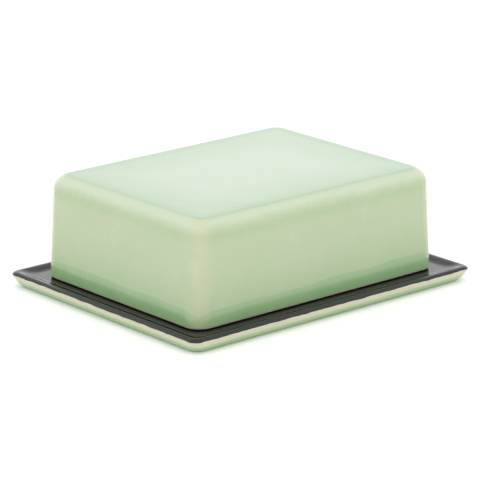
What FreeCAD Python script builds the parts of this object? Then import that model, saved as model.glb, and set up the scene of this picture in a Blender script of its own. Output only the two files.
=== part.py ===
"""Butter dish in glazed stoneware: a shallow tray and a deep lid that lifts off.

Frame: millimetres, +X along the length, +Z up, origin under the middle of the tray.
"""
import FreeCAD, Part
import math
import os
import Sketcher

TRAY_SIZES = {
    "tray_length": 164.4,
    "tray_width": 131.4,
    "foot_ring_width": 7.0,
    "foot_ring_depth": 1.2,
    "foot_recess_corner": 4.0,
}
# Each ring of the tray's section: its inset from the outline, its height and its corner radius.
OUTER_RINGS = {
    "foot": (4.2, 0.0, 6.0),
    "belly": (1.5, 2.5, 5.2),
    "edge": (0.0, 5.6, 3.8),
}
BEAD_RINGS = {
    "bead": (0.55, 6.4, 3.6),
    "crest": (2.0, 6.9, 3.4),
}
WELL_RINGS = {
    "mouth": (2.4, 6.9, 3.4),
    "slope": (4.3, 6.1, 4.4),
    "floor": (6.8, 5.3, 6.2),
}
LID_SIZES = {
    "lid_length": 142.7,
    "lid_width": 108.1,
    "lid_height": 48.0,
    "lid_end_draft": 2.0,
    "lid_side_draft": 0.7,
    "lid_round": 7.6,
    "lid_wall": 5.0,
    "lid_rim_round": 1.7,
}
DERIVED_SIZES = {
    "foot_recess_length": "=foot_length - 2 * foot_ring_width",
    "foot_recess_width": "=foot_width - 2 * foot_ring_width",
}
EDGE_TOLERANCE = 0.01
FACING = 0.9


def lie_at(edge, height):
    """True when an edge lies flat at the given height."""
    box = edge.BoundBox
    return abs(box.ZMin - height) < EDGE_TOLERANCE and abs(box.ZMax - height) < EDGE_TOLERANCE


def ring_sizes():
    """Name every size of the tray's rings, with each ring's length and width worked out."""
    sizes = {}
    for name, (inset, height, corner) in {**OUTER_RINGS, **BEAD_RINGS, **WELL_RINGS}.items():
        sizes[f"{name}_inset"] = inset
        sizes[f"{name}_height"] = height
        sizes[f"{name}_corner"] = corner
        sizes[f"{name}_length"] = f"=tray_length - 2 * {name}_inset"
        sizes[f"{name}_width"] = f"=tray_width - 2 * {name}_inset"
    return sizes


def make_sheet(doc):
    """Write the driving sizes and the sizes worked out from them, one named cell each."""
    sheet = doc.addObject("Spreadsheet::Sheet", "dims")
    rows = {**TRAY_SIZES, **ring_sizes(), **LID_SIZES, **DERIVED_SIZES}
    for row, (name, value) in enumerate(rows.items(), start=1):
        sheet.set(f"A{row}", name)
        sheet.set(f"B{row}", str(value))
        sheet.setAlias(f"B{row}", name)
    doc.recompute()
    return sheet


def make_body(doc, name):
    """Add an empty body whose label names its file."""
    body = doc.addObject("PartDesign::Body", name)
    body.Label = name
    return body


def ground_plane(body):
    """Return the body's own XY plane."""
    return next(f for f in body.Origin.OriginFeatures if f.Role == "XY_Plane")


def new_sketch(body, name, height=None):
    """Attach a sketch to the body's XY plane, raised by a height from the sheet."""
    sketch = body.newObject("Sketcher::SketchObject", name)
    sketch.AttachmentSupport = (ground_plane(body), [""])
    sketch.MapMode = "FlatFace"
    if height:
        sketch.setExpression("AttachmentOffset.Base.z", f"dims.{height}")
    return sketch


def centred_rectangle(sketch, sheet, length, width):
    """Draw a sharp rectangle centred on the origin, with its sides bound to the sheet."""
    x = sheet.get(length) / 2
    y = sheet.get(width) / 2
    points = [FreeCAD.Vector(px, py, 0) for px, py in ((-x, -y), (x, -y), (x, y), (-x, y))]
    for index in range(4):
        sketch.addGeometry(Part.LineSegment(points[index], points[(index + 1) % 4]), False)
    for index in range(4):
        add_constraint(sketch, "Coincident", index, 2, (index + 1) % 4, 1)
    for bottom_or_top in (0, 2):
        add_constraint(sketch, "Horizontal", bottom_or_top)
    for left_or_right in (1, 3):
        add_constraint(sketch, "Vertical", left_or_right)
    add_constraint(sketch, "Symmetric", 0, 1, 2, 1, -1, 1)
    bind_constraint(sketch, "DistanceX", (0, 1, 0, 2), length, "length", sheet)
    bind_constraint(sketch, "DistanceY", (1, 1, 1, 2), width, "width", sheet)


def rounded_rectangle(sketch, sheet, length, width, corner):
    """Draw a rectangle with four equal round corners, bound to the sheet."""
    x = sheet.get(length) / 2
    y = sheet.get(width) / 2
    r = sheet.get(corner)
    quarter = math.pi / 2
    sides = [
        ((-x + r, -y), (x - r, -y)),
        ((x, -y + r), (x, y - r)),
        ((x - r, y), (-x + r, y)),
        ((-x, y - r), (-x, -y + r)),
    ]
    centres = [(x - r, -y + r), (x - r, y - r), (-x + r, y - r), (-x + r, -y + r)]
    up = FreeCAD.Vector(0, 0, 1)
    for index in range(4):
        start, end = (FreeCAD.Vector(px, py, 0) for px, py in sides[index])
        sketch.addGeometry(Part.LineSegment(start, end), False)
    for index in range(4):
        circle = Part.Circle(FreeCAD.Vector(*centres[index], 0), up, r)
        first = (index - 1) * quarter
        sketch.addGeometry(Part.ArcOfCircle(circle, first, first + quarter), False)
    for index in range(4):
        add_constraint(sketch, "Tangent", index, 2, index + 4, 1)
        add_constraint(sketch, "Tangent", index + 4, 2, (index + 1) % 4, 1)
    for bottom_or_top in (0, 2):
        add_constraint(sketch, "Horizontal", bottom_or_top)
    for left_or_right in (1, 3):
        add_constraint(sketch, "Vertical", left_or_right)
    for arc in (5, 6, 7):
        add_constraint(sketch, "Equal", 4, arc)
    add_constraint(sketch, "Symmetric", 4, 3, 6, 3, -1, 1)
    bind_constraint(sketch, "DistanceX", (3, 1, 1, 1), length, "length", sheet)
    bind_constraint(sketch, "DistanceY", (0, 1, 2, 1), width, "width", sheet)
    bind_constraint(sketch, "Radius", (4,), corner, "corner", sheet)


def add_constraint(sketch, kind, *where):
    """Add one geometric constraint."""
    return sketch.addConstraint(Sketcher.Constraint(kind, *where))


def bind_constraint(sketch, kind, where, size, name, sheet):
    """Add one dimension and bind it to a cell of the sheet."""
    index = add_constraint(sketch, kind, *where, sheet.get(size))
    sketch.renameConstraint(index, name)
    sketch.setExpression(f"Constraints.{name}", f"dims.{size}")


def add_feature(body, kind, name, profile, sections=()):
    """Add a feature that is made from one sketch, or lofted through several."""
    feature = body.newObject(f"PartDesign::{kind}", name)
    feature.Profile = profile
    if sections:
        feature.Sections = list(sections)
    profile.Visibility = False
    return feature


def round_edges(doc, body, name, radius, wanted):
    """Fillet the edges of the body's tip that the test picks, with a radius from the sheet."""
    doc.recompute()
    base = body.Tip
    edges = [f"Edge{i}" for i, edge in enumerate(base.Shape.Edges, start=1) if wanted(edge)]
    if not edges:
        raise ValueError(f"{body.Label}: no edge found for {name}")
    fillet = body.newObject("PartDesign::Fillet", name)
    fillet.Base = (base, edges)
    fillet.setExpression("Radius", f"dims.{radius}")
    doc.recompute()
    if fillet.Shape.isNull():
        raise ValueError(f"{body.Label}: {name} can't be made on {edges}")
    return fillet


def ring_sketches(body, sheet, names):
    """Draw a rounded rectangle for each named ring, at the ring's own height."""
    sketches = []
    for name in names:
        sketch = new_sketch(body, f"{name}_outline", f"{name}_height")
        rounded_rectangle(sketch, sheet, f"{name}_length", f"{name}_width", f"{name}_corner")
        sketches.append(sketch)
    return sketches


def make_tray(doc, sheet):
    """A shallow tray: a flat floor, a rim that slopes up to a round lip, and a foot ring."""
    body = make_body(doc, "tray")
    outer = ring_sketches(body, sheet, OUTER_RINGS)
    add_feature(body, "AdditiveLoft", "flared_slab", outer[0], outer[1:])
    bead = ring_sketches(body, sheet, BEAD_RINGS)
    add_feature(body, "AdditiveLoft", "lip_bead", outer[-1], bead)
    well = ring_sketches(body, sheet, WELL_RINGS)
    add_feature(body, "SubtractiveLoft", "shallow_well", well[0], well[1:])
    recess = new_sketch(body, "foot_recess_outline")
    rounded_rectangle(recess, sheet, "foot_recess_length", "foot_recess_width", "foot_recess_corner")
    underside = add_feature(body, "Pocket", "foot_recess", recess)
    underside.Reversed = True
    underside.setExpression("Length", "dims.foot_ring_depth")
    doc.recompute()
    return body


def draft_faces(doc, body, sheet, name, angle, axis):
    """Lean the two faces that look along an axis inwards, turning them about the base plane."""
    doc.recompute()
    base = body.Tip
    faces = []
    for index, face in enumerate(base.Shape.Faces, start=1):
        if abs(face.normalAt(0, 0)[axis]) > FACING:
            faces.append(f"Face{index}")
    draft = body.newObject("PartDesign::Draft", name)
    draft.Base = (base, faces)
    draft.NeutralPlane = (ground_plane(body), [""])
    draft.setExpression("Angle", f"dims.{angle}")
    doc.recompute()
    return draft


def make_lid(doc, sheet):
    """A deep box, open below, that narrows upwards, with generous rounding and an even wall."""
    body = make_body(doc, "lid")
    body.setExpression("Placement.Base.z", "dims.floor_height")
    base = new_sketch(body, "base_outline")
    centred_rectangle(base, sheet, "lid_length", "lid_width")
    block = add_feature(body, "Pad", "block", base)
    block.setExpression("Length", "dims.lid_height")
    draft_faces(doc, body, sheet, "end_draft", "lid_end_draft", 0)
    draft_faces(doc, body, sheet, "side_draft", "lid_side_draft", 1)
    round_edges(doc, body, "outer_round", "lid_round", lambda edge: not lie_at(edge, 0))

    hollow = body.newObject("PartDesign::Thickness", "butter_space")
    solid = body.Group[body.Group.index(hollow) - 1]
    faces = solid.Shape.Faces
    open_faces = [f"Face{i}" for i, face in enumerate(faces, start=1) if lie_at(face, 0)]
    hollow.Base = (solid, open_faces)
    hollow.setExpression("Value", "dims.lid_wall")
    hollow.Reversed = True
    doc.recompute()
    round_edges(doc, body, "rim_round", "lid_rim_round", lambda edge: lie_at(edge, 0))
    return body


def check_document(doc):
    """Stop when any object is in error or any solid is missing or invalid."""
    for item in doc.Objects:
        if {"Invalid", "Error"} & set(item.State):
            raise ValueError(f"{item.Name} is in error: {item.State}")
        shape = getattr(item, "Shape", None)
        if item.isDerivedFrom("PartDesign::Feature") or item.isDerivedFrom("PartDesign::Body"):
            if shape.isNull() or not shape.isValid():
                raise ValueError(f"{item.Name} has no valid shape")


def main():
    """Build both pieces and write one file for each."""
    doc = FreeCAD.newDocument("butter_dish")
    sheet = make_sheet(doc)
    pieces = [make_tray(doc, sheet), make_lid(doc, sheet)]
    doc.recompute()
    check_document(doc)
    os.makedirs("parts", exist_ok=True)
    for piece in pieces:
        piece.Shape.exportStep(f"parts/{piece.Label}.step")
        box = piece.Shape.optimalBoundingBox(False)
        size = f"{box.XLength:.2f} x {box.YLength:.2f} x {box.ZLength:.2f}"
        print(f"{piece.Label}: {size} mm from z {box.ZMin:.2f}, {piece.Shape.Volume / 1000:.1f} cm3")


main()
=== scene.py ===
"""Looks of the butter dish: two glazed stoneware pieces, built as dense meshes over the CAD frame."""
import math

import bpy
import numpy as np
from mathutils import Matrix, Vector


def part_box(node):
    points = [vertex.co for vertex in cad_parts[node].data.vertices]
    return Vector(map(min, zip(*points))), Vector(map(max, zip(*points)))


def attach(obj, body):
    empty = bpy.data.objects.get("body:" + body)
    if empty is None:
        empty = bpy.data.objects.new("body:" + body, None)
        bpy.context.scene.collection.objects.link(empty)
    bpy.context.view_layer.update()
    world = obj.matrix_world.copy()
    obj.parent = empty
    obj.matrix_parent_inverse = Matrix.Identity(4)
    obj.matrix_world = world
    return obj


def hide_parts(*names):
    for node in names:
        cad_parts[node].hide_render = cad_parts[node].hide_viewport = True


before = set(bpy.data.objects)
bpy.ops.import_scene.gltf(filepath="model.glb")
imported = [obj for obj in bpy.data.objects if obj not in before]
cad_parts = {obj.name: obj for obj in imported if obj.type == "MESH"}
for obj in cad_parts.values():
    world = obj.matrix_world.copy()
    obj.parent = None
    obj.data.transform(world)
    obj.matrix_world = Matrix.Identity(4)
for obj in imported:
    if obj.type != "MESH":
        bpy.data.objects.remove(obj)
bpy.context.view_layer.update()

MM = 0.001

# Mesh density: steps round each plan corner and along each side, then rings
# round a quarter circle of the lid's section and up its two wall faces.
CORNER_STEPS = 16
LONG_STEPS = 72
SHORT_STEPS = 56
RING_COUNT = 4 * CORNER_STEPS + 2 * (LONG_STEPS + SHORT_STEPS)
QUARTER_STEPS = 14
INNER_WALL_STEPS = 40
OUTER_WALL_STEPS = 60

# Lid, in millimetres. Length, width and height come from the frame.
LID_END_DRAFT = math.radians(2.0)
LID_SIDE_DRAFT = math.radians(0.7)
LID_CORNER = 8.0
LID_TOP_CORNER = 9.8
LID_TOP_ROUND = 6.8
LID_WALL = 5.0
LID_RIM_ROUND = 1.7
LID_INNER_ROUND = 3.5

# The section measure section_mm runs in millimetres along a piece's section. On the lid it is
# 0 where the top turns into its round edge. The two marks stand for its inside and the inner
# half of its rim, and the inside's glaze begins below the limit.
INSIDE_MARK = -200
INNER_RIM_MARK = -100
INSIDE_LIMIT = -60

# Tray section, from the recess in the underside round to the flat floor:
# inset from the outline, height above the table and corner radius, in millimetres.
TRAY_SECTION = (
    (13.0, 1.2, 4.0),
    (11.8, 1.1, 4.2),
    (11.1, 0.15, 4.6),
    (10.5, 0.0, 4.8),
    (4.6, 0.0, 5.2),
    (3.7, 0.15, 5.4),
    (2.6, 0.95, 5.3),
    (1.25, 2.6, 4.9),
    (0.35, 4.4, 4.4),
    (0.0, 5.6, 4.0),
    (0.3, 6.35, 3.9),
    (1.0, 6.8, 3.9),
    (1.9, 6.95, 4.0),
    (2.7, 6.85, 4.2),
    (3.6, 6.54, 4.5),
    (4.6, 6.10, 4.9),
    (5.6, 5.69, 5.5),
    (6.6, 5.42, 6.1),
    (7.8, 5.31, 6.8),
    (9.2, 5.3, 7.6),
    (12.5, 5.3, 9.2),
)
# The section's points at the lip's widest place, where section_mm is 0, and at the foot's edges.
LIP_POINT = 9
FOOT_POINTS = (3, 4)
SECTION_STEP = 0.28


def outline(half_x, half_y, corner):
    """Points of a rounded rectangle, anticlockwise from the middle of its first corner."""
    points = []
    sides = (LONG_STEPS, SHORT_STEPS, LONG_STEPS, SHORT_STEPS)
    signs = ((-1, -1), (1, -1), (1, 1), (-1, 1))
    for index, (sx, sy) in enumerate(signs):
        centre = (sx * (half_x - corner), sy * (half_y - corner))
        start = math.pi + index * math.pi / 2
        for step in range(CORNER_STEPS + 1):
            angle = start + math.pi / 2 * step / CORNER_STEPS
            points.append((centre[0] + corner * math.cos(angle), centre[1] + corner * math.sin(angle)))
        nsx, nsy = signs[(index + 1) % 4]
        next_centre = (nsx * (half_x - corner), nsy * (half_y - corner))
        angle = start + math.pi / 2
        last = points[-1]
        first = (next_centre[0] + corner * math.cos(angle), next_centre[1] + corner * math.sin(angle))
        for step in range(1, sides[index]):
            part = step / sides[index]
            points.append((last[0] + (first[0] - last[0]) * part, last[1] + (first[1] - last[1]) * part))
    shift = CORNER_STEPS // 2
    return np.array(points[shift:] + points[:shift])


def corner_share():
    """How far into a round corner each ring point is: 1 in its middle, 0 along the sides."""
    share = []
    for side in (LONG_STEPS, SHORT_STEPS, LONG_STEPS, SHORT_STEPS):
        arc = [1 - abs(2 * step / CORNER_STEPS - 1) for step in range(CORNER_STEPS + 1)]
        share += arc + [0.0] * (side - 1)
    shift = CORNER_STEPS // 2
    return np.array(share[shift:] + share[:shift])


class Shell:
    """Collects rings of points and the faces between them, then makes a mesh piece."""

    def __init__(self):
        self.points = []
        self.section = []
        self.corner = []
        self.faces = []
        self.rings = []

    def ring(self, half_x, half_y, corner, height, section):
        """Add one outline at the given height, and join it to the outline before it."""
        start = len(self.points)
        for x, y in outline(half_x, half_y, corner):
            self.points.append((x, y, height))
            self.section.append(section)
        self.corner += list(corner_share())
        ring = list(range(start, start + RING_COUNT))
        if self.rings:
            before = self.rings[-1]
            for index in range(RING_COUNT):
                after = (index + 1) % RING_COUNT
                self.faces.append((before[index], before[after], ring[after], ring[index]))
        self.rings.append(ring)

    def cap(self, ring, section_start, section_slope, upward):
        """Fill a ring with a grid of quads, carrying the section measure on towards the middle."""
        columns = LONG_STEPS + CORNER_STEPS
        rows = SHORT_STEPS + CORNER_STEPS
        grid = {}
        for i in range(columns + 1):
            grid[i, 0] = ring[i]
            grid[columns - i, rows] = ring[(columns + rows + i) % RING_COUNT]
        for j in range(rows + 1):
            grid[columns, j] = ring[(columns + j) % RING_COUNT]
            grid[0, rows - j] = ring[(2 * columns + rows + j) % RING_COUNT]
        place = {key: np.array(self.points[index]) for key, index in grid.items()}
        corners = place[0, 0], place[columns, 0], place[0, rows], place[columns, rows]
        half_x = max(p[0] for p in place.values())
        half_y = max(p[1] for p in place.values())
        for i in range(1, columns):
            u = i / columns
            for j in range(1, rows):
                v = j / rows
                straight = (1 - v) * place[i, 0] + v * place[i, rows]
                straight += (1 - u) * place[0, j] + u * place[columns, j]
                straight -= (1 - u) * (1 - v) * corners[0] + u * (1 - v) * corners[1]
                straight -= (1 - u) * v * corners[2] + u * v * corners[3]
                inside = min(half_x - abs(straight[0]), half_y - abs(straight[1]))
                grid[i, j] = len(self.points)
                self.points.append(tuple(straight))
                self.section.append(section_start + section_slope * inside)
                self.corner.append(0.0)
        for i in range(columns):
            for j in range(rows):
                face = (grid[i, j], grid[i + 1, j], grid[i + 1, j + 1], grid[i, j + 1])
                self.faces.append(face if upward else face[::-1])

    def piece(self, name):
        """Make the mesh object, in metres, with the section and corner measures kept on its points."""
        points = np.array(self.points) * MM
        mesh = bpy.data.meshes.new(name)
        mesh.from_pydata([tuple(p) for p in points], [], self.faces)
        for label, values in (("section_mm", self.section), ("corner", self.corner)):
            layer = mesh.attributes.new(label, "FLOAT", "POINT")
            layer.data.foreach_set("value", np.array(values, dtype=np.float32))
        mesh.validate()
        mesh.polygons.foreach_set("use_smooth", [True] * len(mesh.polygons))
        obj = bpy.data.objects.new(name, mesh)
        bpy.context.collection.objects.link(obj)
        return obj


def smooth_section(knots, step):
    """A smooth curve through the knots (Catmull-Rom), sampled about every step of its length."""
    knots = np.array(knots, dtype=float)
    padded = np.vstack([2 * knots[0] - knots[1], knots, 2 * knots[-1] - knots[-2]])
    samples = []
    marks = []
    for k in range(len(knots) - 1):
        p0, p1, p2, p3 = padded[k:k + 4]
        marks.append(len(samples))
        count = max(2, int(np.linalg.norm((p2 - p1)[:2]) / step))
        for n in range(count):
            q = n / count
            samples.append(0.5 * (2 * p1 + (p2 - p0) * q + (2 * p0 - 5 * p1 + 4 * p2 - p3) * q * q
                                  + (3 * p1 - p0 - 3 * p2 + p3) * q ** 3))
    marks.append(len(samples))
    samples.append(knots[-1])
    return np.array(samples), marks


def tray_mesh():
    """The tray as one closed shell, and where its foot starts and ends along the section."""
    low, high = (np.array(p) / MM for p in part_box("tray"))
    half = (high - low) / 2
    section, marks = smooth_section(TRAY_SECTION, SECTION_STEP)
    steps = np.linalg.norm(np.diff(section[:, :2], axis=0), axis=1)
    along = np.concatenate([[0], np.cumsum(steps)])
    along -= along[marks[LIP_POINT]]
    shell = Shell()
    for (inset, height, corner), measure in zip(section, along):
        shell.ring(half[0] - inset, half[1] - inset, corner, low[2] + height, measure)
    shell.cap(shell.rings[0], along[0], -1, upward=False)
    shell.cap(shell.rings[-1], along[-1], 1, upward=True)
    return shell.piece("tray_dish"), [along[marks[point]] for point in FOOT_POINTS]


def lid_mesh():
    """The lid as one closed shell, and the length of its outside from the top's edge to its base."""
    low, high = (np.array(p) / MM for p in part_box("lid"))
    height = high[2] - low[2]
    angles = np.array([LID_END_DRAFT, LID_SIDE_DRAFT])
    drafts = np.tan(angles)
    # The round rim's widest point lies inside the line of the leaning wall.
    half = (high - low)[:2] / 2 + LID_RIM_ROUND * (drafts + 1 / np.cos(angles) - 1)
    shell = Shell()

    def ring(inset, z, section):
        """One outline of the lid: its plan corners widen upwards, and tighten with the inset."""
        hx, hy = half - inset - drafts * z
        corner = LID_CORNER + (LID_TOP_CORNER - LID_CORNER) * z / height - inset
        shell.ring(hx, hy, corner, low[2] + z, section)

    ceiling = height - LID_WALL
    spring = ceiling - LID_INNER_ROUND
    quarter = [math.pi / 2 * k / QUARTER_STEPS for k in range(QUARTER_STEPS + 1)]
    for angle in reversed(quarter):
        drop = LID_INNER_ROUND * (1 - math.sin(angle))
        inset = LID_WALL + LID_INNER_ROUND * (1 - math.cos(angle))
        ring(inset, ceiling - drop, INSIDE_MARK)
    for k in range(1, INNER_WALL_STEPS):
        ring(LID_WALL, spring + (LID_RIM_ROUND - spring) * k / INNER_WALL_STEPS, INSIDE_MARK)
    shoulder = height - LID_TOP_ROUND
    outside_length = LID_TOP_ROUND * math.pi / 2 + shoulder
    for angle in quarter[::2]:
        inset = LID_WALL - LID_RIM_ROUND * (1 - math.cos(angle))
        ring(inset, LID_RIM_ROUND * (1 - math.sin(angle)), INNER_RIM_MARK)
    for angle in reversed(quarter[::2]):
        inset = LID_RIM_ROUND * (1 - math.cos(angle))
        z = LID_RIM_ROUND * (1 - math.sin(angle))
        ring(inset, z, outside_length - z)
    for k in range(1, OUTER_WALL_STEPS):
        z = LID_RIM_ROUND + (shoulder - LID_RIM_ROUND) * k / OUTER_WALL_STEPS
        ring(0, z, outside_length - z)
    for angle in quarter:
        inset = LID_TOP_ROUND * (1 - math.cos(angle))
        z = shoulder + LID_TOP_ROUND * math.sin(angle)
        arc_left = LID_TOP_ROUND * (math.pi / 2 - angle)
        ring(inset, z, arc_left)
    shell.cap(shell.rings[0], INSIDE_MARK, 0, upward=False)
    shell.cap(shell.rings[-1], 0, -1, upward=True)
    return shell.piece("lid_shell"), outside_length


class Nodes:
    """Short calls for building a material's nodes."""

    def __init__(self, name):
        self.material = bpy.data.materials.new(name)
        self.material.use_nodes = True
        self.tree = self.material.node_tree
        self.shader = self.tree.nodes["Principled BSDF"]

    def add(self, kind, **settings):
        """Make a node with the given settings."""
        node = self.tree.nodes.new(kind)
        for key, value in settings.items():
            setattr(node, key, value)
        return node

    def feed(self, socket, value):
        """Link an output to a socket, or set the socket's own value."""
        if isinstance(value, bpy.types.NodeSocket):
            self.tree.links.new(value, socket)
        else:
            socket.default_value = value

    def attribute(self, name):
        """One of the measures kept on the mesh's points."""
        return self.add("ShaderNodeAttribute", attribute_name=name).outputs["Fac"]

    def calc(self, operation, first, second=0.0):
        """The result of a sum on one or two values."""
        node = self.add("ShaderNodeMath", operation=operation)
        self.feed(node.inputs[0], first)
        self.feed(node.inputs[1], second)
        return node.outputs[0]

    def total(self, *values):
        """All the values added up."""
        result = values[0]
        for value in values[1:]:
            result = self.calc("ADD", result, value)
        return result

    def step(self, value, start, end, low=0.0, high=1.0):
        """Go smoothly from low to high as the value goes from start to end."""
        node = self.add("ShaderNodeMapRange", interpolation_type="SMOOTHSTEP")
        self.feed(node.inputs["Value"], value)
        for key, number in (("From Min", start), ("From Max", end), ("To Min", low), ("To Max", high)):
            self.feed(node.inputs[key], number)
        return node.outputs["Result"]

    def bump_at(self, value, centre, spread, amount):
        """A smooth hill of the given amount, where the value is near the centre."""
        offset = self.calc("ABSOLUTE", self.calc("SUBTRACT", value, centre))
        return self.step(offset, 0.0, spread, amount, 0.0)

    def noise(self, size_mm, detail=2.0):
        """Noise from -1 to 1 whose patches are about the given size."""
        node = self.add("ShaderNodeTexNoise")
        self.feed(node.inputs["Vector"], self.add("ShaderNodeTexCoord").outputs["Object"])
        self.feed(node.inputs["Scale"], 1 / (size_mm * MM))
        self.feed(node.inputs["Detail"], detail)
        return self.calc("MULTIPLY", self.calc("SUBTRACT", node.outputs["Fac"], 0.5), 2.0)

    def specks(self, spacing_mm, radius_mm, strength):
        """Sparse round specks: the given strength inside them, 0 elsewhere."""
        coords = self.add("ShaderNodeTexCoord").outputs["Object"]
        node = self.add("ShaderNodeTexVoronoi")
        self.feed(node.inputs["Vector"], coords)
        self.feed(node.inputs["Scale"], 1 / (spacing_mm * MM))
        reach = radius_mm / spacing_mm
        return self.step(node.outputs["Distance"], reach, reach / 2, 0.0, strength)

    def ramp(self, value, stops):
        """A colour that goes through the stops' colours as the value goes from 0 to 1."""
        node = self.add("ShaderNodeValToRGB")
        self.feed(node.inputs["Fac"], value)
        elements = node.color_ramp.elements
        while len(elements) < len(stops):
            elements.new(1.0)
        for element, (place, colour) in zip(elements, stops):
            element.position = place
            element.color = (*colour, 1)
        return node.outputs["Color"]

    def mix(self, factor, first, second):
        """The first colour where the factor is 0, the second where it is 1."""
        node = self.add("ShaderNodeMix", data_type="RGBA")
        self.feed(node.inputs["Factor"], factor)
        self.feed(node.inputs["A"], first)
        self.feed(node.inputs["B"], second)
        return node.outputs["Result"]

    def bump(self, value, depth_mm, below=None):
        """Relief of the given depth, laid over an earlier relief if there is one."""
        node = self.add("ShaderNodeBump")
        node.inputs["Distance"].default_value = depth_mm * MM
        self.feed(node.inputs["Height"], value)
        if below is not None:
            self.feed(node.inputs["Normal"], below)
        return node.outputs["Normal"]


# Colours of the mint glaze over a buff body, from bare and thin to thickly pooled.
GLAZE_RIM = (0.60, 0.50, 0.33)
GLAZE_THIN = (0.52, 0.525, 0.37)
GLAZE_PALE = (0.475, 0.555, 0.40)
GLAZE_EVEN = (0.40, 0.468, 0.305)
GLAZE_POOLED = (0.305, 0.44, 0.235)
GLAZE_DEEP = (0.19, 0.36, 0.16)
GLAZE_STOPS = (
    (0.0, GLAZE_RIM),
    (0.2, GLAZE_THIN),
    (0.35, GLAZE_PALE),
    (0.5, GLAZE_EVEN),
    (0.7, GLAZE_POOLED),
    (1.0, GLAZE_DEEP),
)
TOP_EVEN = (0.385, 0.465, 0.345)
TOP_POOLED = (0.275, 0.40, 0.255)
SPECK = (0.30, 0.27, 0.13, 1)
CHARCOAL = (0.007, 0.007, 0.009)
CHARCOAL_LIGHT = (0.013, 0.013, 0.015)
CLAY_DARK = (0.50, 0.41, 0.29)
CLAY_LIGHT = (0.62, 0.53, 0.39)
CREAM = (0.53, 0.50, 0.33, 1)
# Near-black line at the lid's base: partly a thin brown glaze edge, mostly painted shade of the dark
# crevice under the rim, which the tray's floor reflects.
BASE_BROWN_AND_SHADE = (0.035, 0.027, 0.019, 1)

# Specks of iron in the clay: their spacing and radius, and how strongly they show.
SPECKS = {"spacing_mm": 11, "radius_mm": 0.22, "strength": 0.6}

# The line above the lid's base where the glaze ran and stayed thicker, in millimetres.
RUN_LINE = 8.7
RUN_LINE_WAVE = 2.4
RUN_LINE_CORNER_DROP = -2.4

# How glossy the glazes and the bare clay are, and how softly the glaze ends at the foot.
GLAZE_IOR = 1.5
TRAY_GLAZE_IOR = 1.43
LID_ROUGHNESS = (0.05, 0.10)
TRAY_ROUGHNESS = 0.07
CLAY_ROUGHNESS = 0.85
FOOT_EDGE_BLUR = 0.2


def glaze_surface(nodes):
    """Bump of a fired glaze: long soft waves, a faint orange peel and a very fine skin."""
    waves = nodes.bump(nodes.noise(22, detail=1), 0.10)
    peel = nodes.bump(nodes.noise(3.0, detail=1), 0.010, waves)
    return nodes.bump(nodes.noise(0.9, detail=2), 0.003, peel)


def finish_glaze(nodes, colour, roughness, ior):
    """Give a glaze its colour, its gloss and its surface."""
    nodes.feed(nodes.shader.inputs["Base Color"], colour)
    nodes.feed(nodes.shader.inputs["Normal"], glaze_surface(nodes))
    nodes.feed(nodes.shader.inputs["Roughness"], roughness)
    nodes.shader.inputs["IOR"].default_value = ior
    return nodes.material


def mottle(nodes):
    """The uneven thickness of a dipped glaze, from broad drifts to a fine mottle."""
    drift = nodes.calc("MULTIPLY", nodes.noise(35), 0.05)
    clouds = nodes.calc("MULTIPLY", nodes.noise(8), 0.05)
    grain = nodes.calc("MULTIPLY", nodes.noise(1.6), 0.045)
    return nodes.total(drift, clouds, grain)


def charcoal(nodes):
    """Black glaze with faint lighter clouds."""
    return nodes.ramp(nodes.total(0.5, nodes.noise(14)), ((0.0, CHARCOAL), (1.0, CHARCOAL_LIGHT)))


def lid_wall_colour(nodes, section, corner, height):
    """Mint glaze on the lid's sides: thin on the edges, thicker towards the base."""
    run_line = nodes.total(
        RUN_LINE,
        nodes.calc("MULTIPLY", nodes.noise(38, detail=1), RUN_LINE_WAVE),
        nodes.calc("MULTIPLY", corner, RUN_LINE_CORNER_DROP),
    )
    below_line = nodes.calc("SUBTRACT", run_line, height)
    thickness = nodes.total(
        0.5,
        mottle(nodes),
        # Thin on the round top edge, a little thicker just under it, then towards the base.
        nodes.bump_at(section, 4.4, 5.2, -0.17),
        nodes.bump_at(section, 11.5, 4.0, 0.07),
        nodes.step(height, 30.0, 9.0, 0.0, 0.07),
        nodes.calc("MULTIPLY", corner, -0.04),
        # A sharp start at the run line, then a slow build-up below it.
        nodes.step(below_line, -0.1, 0.3, 0.0, 0.15),
        nodes.step(below_line, 0.3, 6.5, 0.0, 0.13),
    )
    # The glaze is drawn thin over the last two millimetres above the base.
    thinned = nodes.calc("MULTIPLY", thickness, nodes.step(height, 0.5, 1.9, 0.05, 1.0))
    return nodes.mix(nodes.calc("MULTIPLY", corner, 0.3), nodes.ramp(thinned, GLAZE_STOPS), CREAM)


def lid_top_colour(nodes, section):
    """Mint glaze on the lid's top: thicker towards its edge, and most of all right beside it."""
    pool = nodes.total(
        nodes.bump_at(section, -1.0, 5.0, 0.5),
        nodes.step(section, -34.0, -3.0, 0.0, 0.6),
        nodes.calc("MULTIPLY", mottle(nodes), 1.6),
    )
    return nodes.mix(nodes.calc("MAXIMUM", pool, 0.0), (*TOP_EVEN, 1), (*TOP_POOLED, 1))


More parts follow.
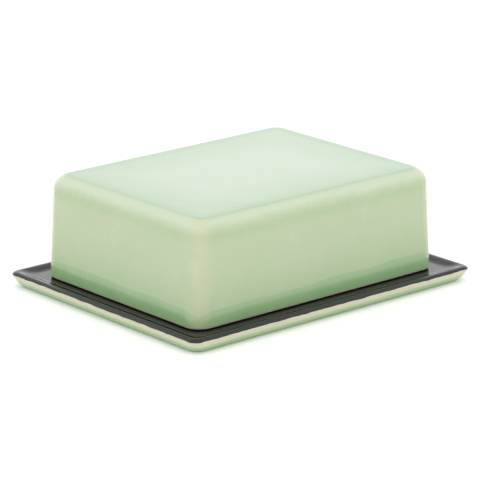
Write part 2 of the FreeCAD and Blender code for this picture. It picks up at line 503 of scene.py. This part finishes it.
def lid_glaze(outside_length):
    """Mint glaze outside the lid, a near-black line at its base (a thin brown glaze edge darkened into
    painted shade of the crevice under the rim), and charcoal inside.
    """
    nodes = Nodes("mint_glaze_lid")
    section = nodes.attribute("section_mm")
    corner = nodes.attribute("corner")
    height = nodes.calc("SUBTRACT", outside_length, section)
    wall = lid_wall_colour(nodes, section, corner, height)
    outside = nodes.mix(nodes.step(section, 4.0, -0.4), wall, lid_top_colour(nodes, section))
    specked = nodes.mix(nodes.specks(**SPECKS), outside, SPECK)
    # Painted shade: the lowest 0.65 mm of the lid turns near-black, standing in for the crevice under the
    # rim over a thin brown glaze edge.
    edged = nodes.mix(nodes.step(height, 0.65, 0.35), specked, BASE_BROWN_AND_SHADE)
    inside = nodes.step(section, INSIDE_LIMIT, INSIDE_LIMIT - 1)
    roughness = nodes.step(nodes.noise(9), -0.6, 0.6, *LID_ROUGHNESS)
    return finish_glaze(nodes, nodes.mix(inside, edged, charcoal(nodes)), roughness, GLAZE_IOR)


def tray_glaze(foot_start, foot_end):
    """Charcoal glaze inside and over the lip, mint outside, thin below the lip, bare on the foot."""
    nodes = Nodes("charcoal_and_mint_glaze")
    section = nodes.attribute("section_mm")
    wavy = nodes.total(section, nodes.calc("MULTIPLY", nodes.noise(7), 0.45))
    thickness = nodes.total(
        nodes.step(wavy, -1.1, -2.9, 0.17, 0.52),
        nodes.step(section, -2.3, -5.8, 0.0, 0.30),
        mottle(nodes),
    )
    mint = nodes.mix(nodes.specks(**SPECKS), nodes.ramp(thickness, GLAZE_STOPS), SPECK)
    glazed = nodes.mix(nodes.step(wavy, 0.06, 0.26), mint, charcoal(nodes))
    uneven = nodes.total(section, nodes.calc("MULTIPLY", nodes.noise(5), 0.4))
    past_start = nodes.step(uneven, foot_start - FOOT_EDGE_BLUR, foot_start + FOOT_EDGE_BLUR)
    before_end = nodes.step(uneven, foot_end + FOOT_EDGE_BLUR, foot_end - FOOT_EDGE_BLUR)
    foot = nodes.calc("MULTIPLY", past_start, before_end)
    clay = nodes.ramp(nodes.total(0.5, nodes.noise(0.7, detail=3)), ((0.2, CLAY_DARK), (0.8, CLAY_LIGHT)))
    roughness = nodes.step(foot, 0.3, 0.7, TRAY_ROUGHNESS, CLAY_ROUGHNESS)
    return finish_glaze(nodes, nodes.mix(foot, glazed, clay), roughness, TRAY_GLAZE_IOR)


# Studio: a floor that glows faintly, so that it renders white, and a sky whose strength
# falls from the horizon to overhead between two values of the direction's Z.
FLOOR_SIZE = 6
FLOOR_WHITE = (0.92, 0.92, 0.92, 1)
FLOOR_GLOW = 0.04
SKY_TURN = (0.35, 0.85)
SKY_STRENGTH = (1.5, 1.22)

# Camera: its direction, its distance from the point that it looks at, the width of the view
# there, and that point's place from the middle of the lid's base, in the picture's own up and left.
CAMERA_AZIMUTH = math.radians(40.79)
CAMERA_ELEVATION = math.radians(16.89)
CAMERA_DISTANCE = 1.3313
VIEW_WIDTH = 0.218182
AIM_UP = 0.01443
AIM_LEFT = 0.00037
SENSOR_WIDTH = 36
FAR_CLIP = 20


def add_floor():
    """A plain white matt floor, which isn't part of the dish."""
    bpy.ops.mesh.primitive_plane_add(size=FLOOR_SIZE)
    floor = bpy.context.object
    floor.name = "floor"
    mat = bpy.data.materials.new("white_floor")
    mat.use_nodes = True
    bsdf = mat.node_tree.nodes["Principled BSDF"]
    bsdf.inputs["Base Color"].default_value = FLOOR_WHITE
    bsdf.inputs["Emission Color"].default_value = (1, 1, 1, 1)
    bsdf.inputs["Emission Strength"].default_value = FLOOR_GLOW
    bsdf.inputs["Roughness"].default_value = 1
    bsdf.inputs["Specular IOR Level"].default_value = 0
    floor.data.materials.append(mat)


def add_world():
    """A white studio all round: brightest near the horizon, softer overhead."""
    world = bpy.data.worlds.new("studio")
    bpy.context.scene.world = world
    world.use_nodes = True
    tree = world.node_tree
    coords = tree.nodes.new("ShaderNodeTexCoord")
    split = tree.nodes.new("ShaderNodeSeparateXYZ")
    tree.links.new(coords.outputs["Generated"], split.inputs[0])
    ranged = tree.nodes.new("ShaderNodeMapRange")
    ranged.interpolation_type = "SMOOTHSTEP"
    tree.links.new(split.outputs["Z"], ranged.inputs["Value"])
    for key, number in zip(("From Min", "From Max", "To Min", "To Max"), SKY_TURN + SKY_STRENGTH):
        ranged.inputs[key].default_value = number
    background = tree.nodes["Background"]
    background.inputs["Color"].default_value = (1, 1, 1, 1)
    tree.links.new(ranged.outputs["Result"], background.inputs["Strength"])


def add_camera():
    """Place the camera at the angle and distance of a product photograph."""
    level = Vector((math.sin(CAMERA_AZIMUTH), math.cos(CAMERA_AZIMUTH), 0))
    forward = level * math.cos(CAMERA_ELEVATION) - Vector((0, 0, math.sin(CAMERA_ELEVATION)))
    right = Vector((level.y, -level.x, 0))
    up = right.cross(forward)
    lid_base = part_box("lid")[0][2]
    aim = Vector((0, 0, lid_base)) + up * AIM_UP - right * AIM_LEFT
    camera = bpy.data.cameras.new("camera")
    camera.sensor_width = SENSOR_WIDTH
    camera.lens = SENSOR_WIDTH * CAMERA_DISTANCE / VIEW_WIDTH
    camera.clip_end = FAR_CLIP
    obj = bpy.data.objects.new("camera", camera)
    obj.location = aim - forward * CAMERA_DISTANCE
    obj.rotation_euler = forward.to_track_quat("-Z", "Y").to_euler()
    bpy.context.collection.objects.link(obj)
    bpy.context.scene.camera = obj


tray, foot_range = tray_mesh()
tray.data.materials.append(tray_glaze(*foot_range))
lid, lid_outside_length = lid_mesh()
lid.data.materials.append(lid_glaze(lid_outside_length))
for piece, node, slot in ((tray, "tray", "charcoal_glaze"), (lid, "lid", "mint_glaze")):
    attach(piece, node)
    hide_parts(node)
add_floor()
add_world()
add_camera()
bpy.context.scene.view_settings.view_transform = "Standard"
